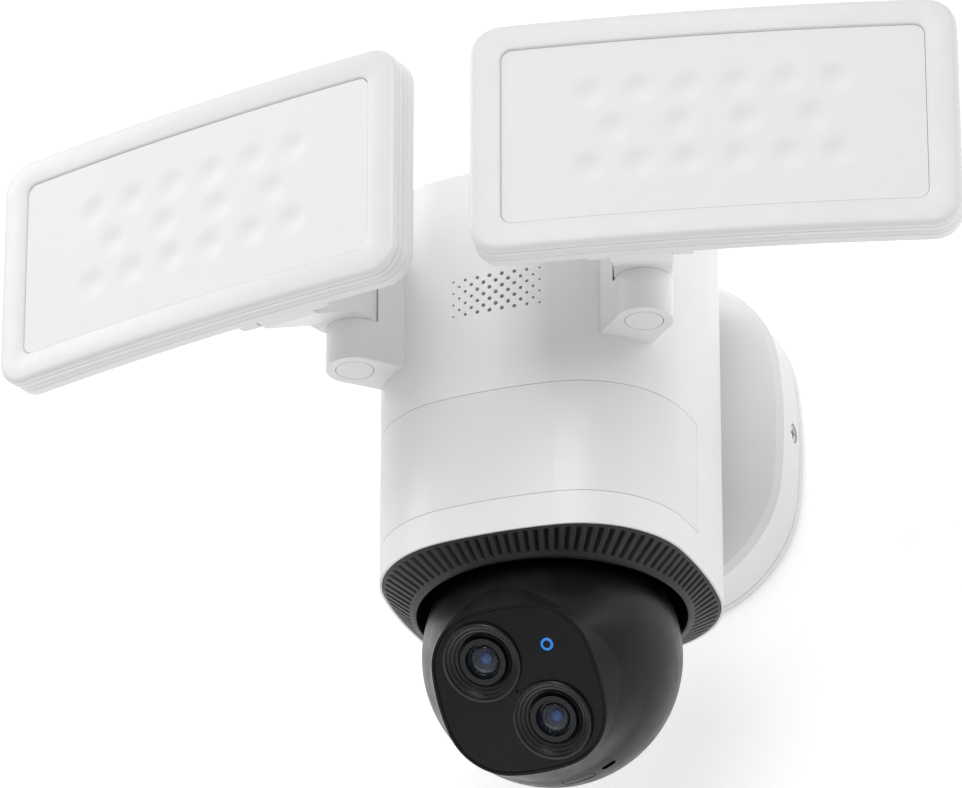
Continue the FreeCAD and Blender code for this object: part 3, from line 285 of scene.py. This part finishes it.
# ---------------------------------------------------------------- vent ring
RIBS = 96
RIB_STEPS = (0.0, 0.0, 0.0, 0.0, 0.0, 0.55, 1.0, 0.55)
RING_OUT, RING_HOLE, RING_DROP, CUP_WALL, CUP_TOP = 57.9, 48.7, 7.6, 2.2, 25.0
RING_LIP = 1.2
GROOVE_DEPTH = 1.15
GROOVE_INWARD, GROOVE_UPWARD = 0.62, 0.75
# kind of ring, then share and groove for "slope", or reach and height for the others
RING_PROFILE_STEPS = (
    ("edge", 55.9, 7.9), ("edge", 55.9, 0.05), ("slope", 0.0, 0.0), ("slope", 0.07, 0.0),
    ("slope", 0.10, 0.0), ("slope", 0.13, 1.0), ("slope", 0.45, 1.0), ("slope", 0.80, 1.0),
    ("slope", 0.84, 0.0), ("slope", 0.93, 0.0), ("slope", 1.0, 0.0),
    ("round", RING_HOLE + 0.5, -RING_DROP - 0.15), ("round", RING_HOLE, -RING_DROP + 0.5),
    ("round", RING_HOLE, 10.0), ("round", RING_HOLE, CUP_TOP),
    ("round", RING_HOLE + CUP_WALL, CUP_TOP), ("round", RING_HOLE + CUP_WALL, 2.6),
    ("round", 52.6, 2.6), ("round", 52.6, 7.9))


def ring_point(turn, share, groove):
    """A point of the sloping underside: share 0 is the outer edge, 1 the inner one."""
    outer = squircle_reach(RING_OUT, turn)
    inner = RING_HOLE + RING_LIP
    reach = outer + (inner - outer) * share - GROOVE_INWARD * groove
    height = -RING_DROP * share + GROOVE_UPWARD * groove
    return reach, height


def vent_ring_mesh():
    """Closed loft: ribbed sloping face, smooth rims, round bore with a cup above it."""
    around = RIBS * len(RIB_STEPS)
    loops = []
    for kind, first, second in RING_PROFILE_STEPS:
        for step in range(around):
            turn = 2 * math.pi * step / around
            if kind == "edge":
                reach, height = squircle_reach(first, turn), second
            elif kind == "slope":
                depth = GROOVE_DEPTH * second * RIB_STEPS[step % len(RIB_STEPS)]
                reach, height = ring_point(turn, first, depth)
            else:
                reach, height = first, second
            loops.append(BODY_PLACE @ Vector((reach * math.cos(turn) * MM,
                                              reach * math.sin(turn) * MM, height * MM)))
    return loops, ring_faces(len(RING_PROFILE_STEPS), around)


ribbed = make_piece("vent_ring_ribbed", *vent_ring_mesh(), MATERIALS["black_plastic"], 40.0)
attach(ribbed, "base")
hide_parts("vent_ring")

# ---------------------------------------------------------------- lenses
LENS_SPOTS = ((-10.1, 12.6), (10.1, -12.6))
RING_PROFILE = ((14.65, 37.65), (14.65, 41.75), (14.5, 42.2), (14.15, 42.45), (13.75, 42.5),
                (13.45, 42.4), (13.3, 42.15), (13.25, 41.8), (12.3, 41.2), (12.15, 41.3),
                (12.0, 41.1), (11.95, 40.75), (11.0, 40.2), (10.85, 40.3), (10.7, 40.1),
                (10.65, 39.8), (9.7, 39.3), (9.55, 39.4), (9.4, 39.2), (9.35, 38.95),
                (8.75, 38.75), (8.62, 38.5), (8.62, 37.65))
IRIS_PROFILE = ((6.5, 33.6), (6.5, 39.2), (6.2, 39.3), (6.05, 38.9), (5.2, 38.2), (5.05, 38.3),
                (4.9, 37.9), (4.0, 37.2), (3.85, 37.3), (3.7, 36.9), (2.4, 36.2), (0.02, 36.0),
                (0.02, 33.6))
PUPIL_PROFILE = ((2.3, 36.3), (2.25, 36.9), (1.8, 37.35), (1.1, 37.6), (0.02, 37.7), (0.02, 36.3))


def dome_profile(radius, centre, edge, inset):
    """A thin domed window: outer ball cap down to its edge, then back under itself."""
    outside, inside = [], []
    limit = math.asin(edge / radius)
    for step in range(13):
        lean = limit * (1 - step / 12)
        outside.append((max(0.02, radius * math.sin(lean)), centre + radius * math.cos(lean)))
        inside.append((max(0.02, (radius - inset) * math.sin(lean)),
                       centre + (radius - inset) * math.cos(lean)))
    return tuple(outside) + tuple(reversed(inside))


def at_lenses(profile, around=96):
    """The same turned profile at both lenses."""
    return join_parts([lathe(profile, HEAD_PLACE @ Matrix.Translation((x * MM, 0.0, z * MM)),
                             around) for x, z in LENS_SPOTS])


lens_rings = make_piece("lens_rings_stepped", *at_lenses(RING_PROFILE),
                        MATERIALS["lens_ring_black"], 24.0)
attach(lens_rings, "camera_head")
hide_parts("lens_rings")
lens_domes = make_piece("lens_domes", *at_lenses(dome_profile(9.0, 32.3, 6.55, 0.8)),
                        MATERIALS["lens_glass"], 30.0)
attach(lens_domes, "camera_head")
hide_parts("lens_glasses")
lens_irises = make_piece("lens_irises", *at_lenses(IRIS_PROFILE, 64),
                         MATERIALS["iris_black"], 24.0)
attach(lens_irises, "camera_head")
lens_pupils = make_piece("lens_pupils", *at_lenses(PUPIL_PROFILE, 48),
                         MATERIALS["pupil_blue"], 30.0)
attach(lens_pupils, "camera_head")

# ---------------------------------------------------------------- status light
LIGHT_X, LIGHT_Z = 15.2, 14.6
light_place = HEAD_PLACE @ Matrix.Translation((LIGHT_X * MM, 0.0, LIGHT_Z * MM))
light_ring = make_piece("status_light_ring", *lathe(
    ((1.45, 37.7), (1.45, 40.5), (1.6, 40.62), (2.15, 40.62), (2.3, 40.5), (2.3, 37.7)),
    light_place, 64), MATERIALS["blue_light"])
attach(light_ring, "camera_head")
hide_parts("status_light")
light_plug = make_piece("status_light_plug", *lathe(
    ((0.02, 37.7), (1.42, 37.7), (1.42, 40.5), (1.3, 40.58), (0.02, 40.6)), light_place, 48),
    MATERIALS["gloss_black"])
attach(light_plug, "camera_head")

# ---------------------------------------------------------------- face fairing
HEAD_RADIUS, FACE_HALF, FACE_DEPTH, FACE_BEND = 47.1, 30.0, 41.5, 260.0
FAIRING_STEPS = 16


def fairing_mesh(around=192):
    """Smooth shoulder from the ball up to the rim of the face, closed underneath."""
    spans = []
    for step in range(around):
        turn = 2 * math.pi * step / around
        below = max(0.0, math.cos(turn + math.pi / 2)) ** 2
        start = math.radians(66.0 - 10.5 * below)
        rim = squircle_reach(FACE_HALF + 0.62, turn)
        rim_depth = FACE_DEPTH - rim ** 2 / (2 * FACE_BEND) + 0.32
        first = (HEAD_RADIUS * math.sin(start) - 0.03, HEAD_RADIUS * math.cos(start) - 0.03)
        gap = math.hypot(first[0] - rim, first[1] - rim_depth)
        second = (first[0] - 0.42 * gap * math.cos(start), first[1] + 0.42 * gap * math.sin(start))
        third = (rim + 0.30 * gap * 0.50, rim_depth - 0.30 * gap * 0.87)
        span = []
        for index in range(FAIRING_STEPS + 1):
            share = index / FAIRING_STEPS
            rest = 1.0 - share
            weights = (rest ** 3, 3 * rest ** 2 * share, 3 * rest * share ** 2, share ** 3)
            corners = (first, second, third, (rim, rim_depth))
            span.append(tuple(sum(weight * corner[axis] for weight, corner in
                                  zip(weights, corners)) for axis in (0, 1)))
        span.append((rim - 0.22, rim_depth + 0.04))
        span.append((rim - 0.42, rim_depth - 0.10))
        span.append((rim - 0.42, rim_depth - 1.0))
        span.append((first[0] - 1.2, first[1] - 0.8))
        spans.append((turn, span))
    rings = len(spans[0][1])
    points = []
    for ring in range(rings):
        for turn, span in spans:
            reach, depth = span[ring]
            points.append(HEAD_PLACE @ Vector((reach * math.cos(turn) * MM, -depth * MM,
                                               reach * math.sin(turn) * MM)))
    return points, ring_faces(rings, around)


fairing = make_piece("face_fairing", *fairing_mesh(), MATERIALS["head_plastic"], 50.0)
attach(fairing, "camera_head")

# ---------------------------------------------------------------- lamps
LAMP_X, LAMP_FRONT, LAMP_Z, LAMP_BEND = 31.4, -60.8, 122.4, 1084.0
BEZEL_RINGS = ((75.7, 34.9, 4.0, 2.2), (75.7, 34.9, 4.0, 0.8), (75.85, 35.05, 4.15, 0.4),
               (76.15, 35.35, 4.45, 0.12), (76.6, 35.8, 4.9, 0.0), (84.9, 43.4, 8.8, 0.0),
               (85.8, 44.3, 9.7, 0.14), (86.5, 45.0, 10.4, 0.5), (86.95, 45.45, 10.85, 1.05),
               (87.1, 45.6, 11.0, 1.7), (87.1, 45.6, 11.0, 2.75), (86.75, 45.25, 10.65, 2.85),
               (86.75, 45.25, 10.65, 3.1), (87.1, 45.6, 11.0, 3.2), (87.1, 45.6, 11.0, 5.1),
               (86.9, 45.4, 10.8, 5.2), (84.9, 43.4, 8.8, 5.2), (84.9, 43.4, 8.8, 2.2))
BACK_RINGS = ((82.6, 41.1, 6.5, 5.5), (86.6, 45.1, 10.5, 5.5), (86.8, 45.3, 10.7, 5.7),
              (86.8, 45.3, 10.7, 8.6), (86.6, 45.1, 10.5, 8.7), (86.6, 45.1, 10.5, 8.9),
              (86.8, 45.3, 10.7, 9.0), (86.8, 45.3, 10.7, 12.7), (86.6, 45.1, 10.5, 13.1),
              (86.1, 44.6, 10.0, 13.3), (84.9, 43.4, 8.8, 13.3), (84.5, 43.0, 8.4, 13.1),
              (84.3, 42.8, 8.2, 12.7), (84.2, 42.7, 8.1, 11.3), (83.8, 42.3, 7.7, 11.2),
              (60.0, 26.0, 5.0, 11.2), (36.0, 12.0, 3.0, 11.2), (12.0, 3.0, 1.0, 11.2),
              (0.4, 0.2, 0.05, 11.2), (0.4, 0.2, 0.05, 8.6), (40.0, 14.0, 3.0, 8.6),
              (82.6, 41.1, 6.5, 8.6))
COVER_FRONT, COVER_BACK = 0.75, 4.15
HOLLOW_RADIUS, HOLLOW_DEPTH = 7.6, 1.15
LED_ROWS = ((-14.9, 6, 17.6), (0.0, 4, 23.5), (14.9, 6, 17.6))


def on_lamp(side, x, z, depth):
    """A point of the bowed lamp, from across and up offsets and a depth behind its front."""
    inner = LAMP_BEND - depth
    y = LAMP_FRONT + LAMP_BEND - math.sqrt(inner ** 2 - x ** 2)
    return lamp_frame(side) @ Vector(((side * LAMP_X + x) * MM, y * MM, (LAMP_Z + z) * MM))


def outline_loft(side, rings):
    """Closed loft through rounded outlines at their depths."""
    points = []
    for half_x, half_z, corner, depth in rings:
        for x, z in rounded_outline(half_x, half_z, corner):
            points.append(on_lamp(side, x, z, depth))
    return points, ring_faces(len(rings), len(points) // len(rings))


def dimple(x, z):
    """Depth of the soft hollows in front of the light-emitting diodes."""
    depth = 0.0
    for height, count, pitch in LED_ROWS:
        for index in range(count):
            away = math.hypot(x - (index - (count - 1) / 2) * pitch, z - height) / HOLLOW_RADIUS
            if away < 1.0:
                depth = max(depth, HOLLOW_DEPTH * (0.5 + 0.5 * math.cos(math.pi * away)))
    return depth


VIEW_HALF_X, VIEW_HALF_Z, VIEW_CORNER = 75.55, 34.75, 3.9


def in_opening(x, z):
    """Draws a point of the rectangle in towards the opening's rounded corners."""
    most = max(abs(x) / VIEW_HALF_X, abs(z) / VIEW_HALF_Z)
    if most < 0.01:
        return x, z
    edge_x, edge_z = abs(x) / most, abs(z) / most
    mid_x, mid_z = VIEW_HALF_X - VIEW_CORNER, VIEW_HALF_Z - VIEW_CORNER
    if edge_x <= mid_x or edge_z <= mid_z:
        return x, z
    square = edge_x ** 2 + edge_z ** 2
    along = edge_x * mid_x + edge_z * mid_z
    rest = mid_x ** 2 + mid_z ** 2 - VIEW_CORNER ** 2
    share = (along + math.sqrt(along ** 2 - square * rest)) / square
    pull = 1.0 - (1.0 - share) * most ** 10
    return x * pull, z * pull


def diffuser_mesh(side):
    """Frosted cover: a fine grid with soft hollows, closed at the back."""
    columns, rows = 221, 103
    points = []
    for back in (False, True):
        for row in range(rows):
            level = VIEW_HALF_Z * (2.0 * row / (rows - 1) - 1.0)
            for column in range(columns):
                x, z = in_opening(VIEW_HALF_X * (2.0 * column / (columns - 1) - 1.0), level)
                depth = COVER_BACK if back else COVER_FRONT + dimple(x, z)
                points.append(on_lamp(side, x, z, depth))
    faces = []
    layer = columns * rows
    for row in range(rows - 1):
        for column in range(columns - 1):
            here = row * columns + column
            faces.append((here, here + 1, here + 1 + columns, here + columns))
            faces.append((layer + here, layer + here + columns, layer + here + 1 + columns,
                          layer + here + 1))
    border = list(range(columns))
    border += [row * columns + columns - 1 for row in range(1, rows)]
    border += [(rows - 1) * columns + column for column in range(columns - 2, -1, -1)]
    border += [row * columns for row in range(rows - 2, 0, -1)]
    for step, here in enumerate(border):
        after = border[(step + 1) % len(border)]
        faces.append((here, layer + here, layer + after, after))
    return points, faces


for label, side in SIDES:
    bezel = make_piece(f"{label}_bezel_rounded", *outline_loft(side, BEZEL_RINGS),
                       MATERIALS["lamp_bezel"], 50.0)
    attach(bezel, f"{label}_lamp")
    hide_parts(f"{label}_lamp_bezel")
    cover = make_piece(f"{label}_diffuser_dimpled", *diffuser_mesh(side), MATERIALS["diffuser"])
    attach(cover, f"{label}_lamp")
    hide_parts(f"{label}_lamp_diffuser")
    back = make_piece(f"{label}_lamp_back_rounded", *outline_loft(side, BACK_RINGS),
                      MATERIALS["white_metal"], 50.0)
    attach(back, f"{label}_lamp")
    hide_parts(f"{label}_lamp_back")

# ---------------------------------------------------------------- camera
VIEW_AZIMUTH = math.radians(20.45)
VIEW_ELEVATION = math.radians(27.06)
VIEW_DISTANCE = 2.717
LENS_MM = 281.0
AIM_ACROSS = -0.02576
AIM_UP = 0.07377

across = Vector((math.cos(VIEW_AZIMUTH), math.sin(VIEW_AZIMUTH), 0.0))
forward = Vector((-math.sin(VIEW_AZIMUTH) * math.cos(VIEW_ELEVATION),
                  math.cos(VIEW_AZIMUTH) * math.cos(VIEW_ELEVATION), math.sin(VIEW_ELEVATION)))
upward = across.cross(forward)
anchor = Vector((0.0, AXIS_Y, FLOOR))
camera_data = bpy.data.cameras.new("camera")
camera_data.lens = LENS_MM
camera_data.clip_end = 50.0
camera = bpy.data.objects.new("camera", camera_data)
bpy.context.scene.collection.objects.link(camera)
camera.matrix_world = Matrix.Translation(
    anchor + across * AIM_ACROSS + upward * AIM_UP - forward * VIEW_DISTANCE
) @ Matrix((across, upward, -forward)).transposed().to_4x4()
bpy.context.scene.camera = camera

# ---------------------------------------------------------------- light and stage
bpy.context.scene.view_settings.view_transform = "Standard"


def area_light(name, place, aim, size, power, colour=(1.0, 1.0, 1.0)):
    """A square soft box that faces a point."""
    data = bpy.data.lights.new(name, "AREA")
    data.size = size
    data.energy = power
    data.color = colour
    lamp = bpy.data.objects.new(name, data)
    bpy.context.scene.collection.objects.link(lamp)
    lamp.location = place
    lamp.rotation_euler = (Vector(aim) - Vector(place)).to_track_quat("-Z", "Y").to_euler()
    return lamp


MIDDLE = (0.0, -0.08, -0.02)
area_light("key_soft_box", (-2.0, -1.1, 1.4), MIDDLE, 1.0, 19.0)
area_light("front_soft_box", (0.4, -2.5, 1.1), MIDDLE, 1.6, 30.0)
area_light("side_soft_box", (2.3, -0.5, 1.0), MIDDLE, 0.7, 3.0)

world = bpy.data.worlds.new("studio")
bpy.context.scene.world = world
world.use_nodes = True
world.node_tree.nodes["Background"].inputs["Color"].default_value = (1.0, 1.0, 1.0, 1.0)
world.node_tree.nodes["Background"].inputs["Strength"].default_value = 0.45


def stage_sheet(name, corners, colour):
    """A flat stage surface."""
    mesh = bpy.data.meshes.new(name)
    mesh.from_pydata(corners, [], [(0, 1, 2, 3)])
    sheet = bpy.data.objects.new(name, mesh)
    bpy.context.scene.collection.objects.link(sheet)
    material, shader = new_material(name + "_paint", colour, 0.9)
    sheet.data.materials.append(material)
    return sheet, material, shader


FLOOR_Z = -2.6
stage_sheet("pale_floor", [(-4, -6, FLOOR_Z), (4, -6, FLOOR_Z), (4, 2, FLOOR_Z), (-4, 2, FLOOR_Z)],
            (0.86, 0.86, 0.86))

_, wall_material, wall_shader = stage_sheet(
    "pale_wall", [(-4, 0.0006, FLOOR_Z), (4, 0.0006, FLOOR_Z), (4, 0.0006, 4), (-4, 0.0006, 4)],
    (0.90, 0.90, 0.90))
wall_nodes, wall_links = wall_material.node_tree.nodes, wall_material.node_tree.links
wall_shader.inputs["Emission Color"].default_value = (1.0, 1.0, 1.0, 1.0)
wall_shader.inputs["Emission Strength"].default_value = 0.42
wall_side = wall_nodes.new("ShaderNodeNewGeometry")
wall_clear = wall_nodes.new("ShaderNodeBsdfTransparent")
wall_mix = wall_nodes.new("ShaderNodeMixShader")
wall_links.new(wall_side.outputs["Backfacing"], wall_mix.inputs["Fac"])
wall_links.new(wall_shader.outputs["BSDF"], wall_mix.inputs[1])
wall_links.new(wall_clear.outputs["BSDF"], wall_mix.inputs[2])
wall_links.new(wall_mix.outputs["Shader"], wall_nodes["Material Output"].inputs["Surface"])
bpy.data.objects["pale_wall"].visible_shadow = False
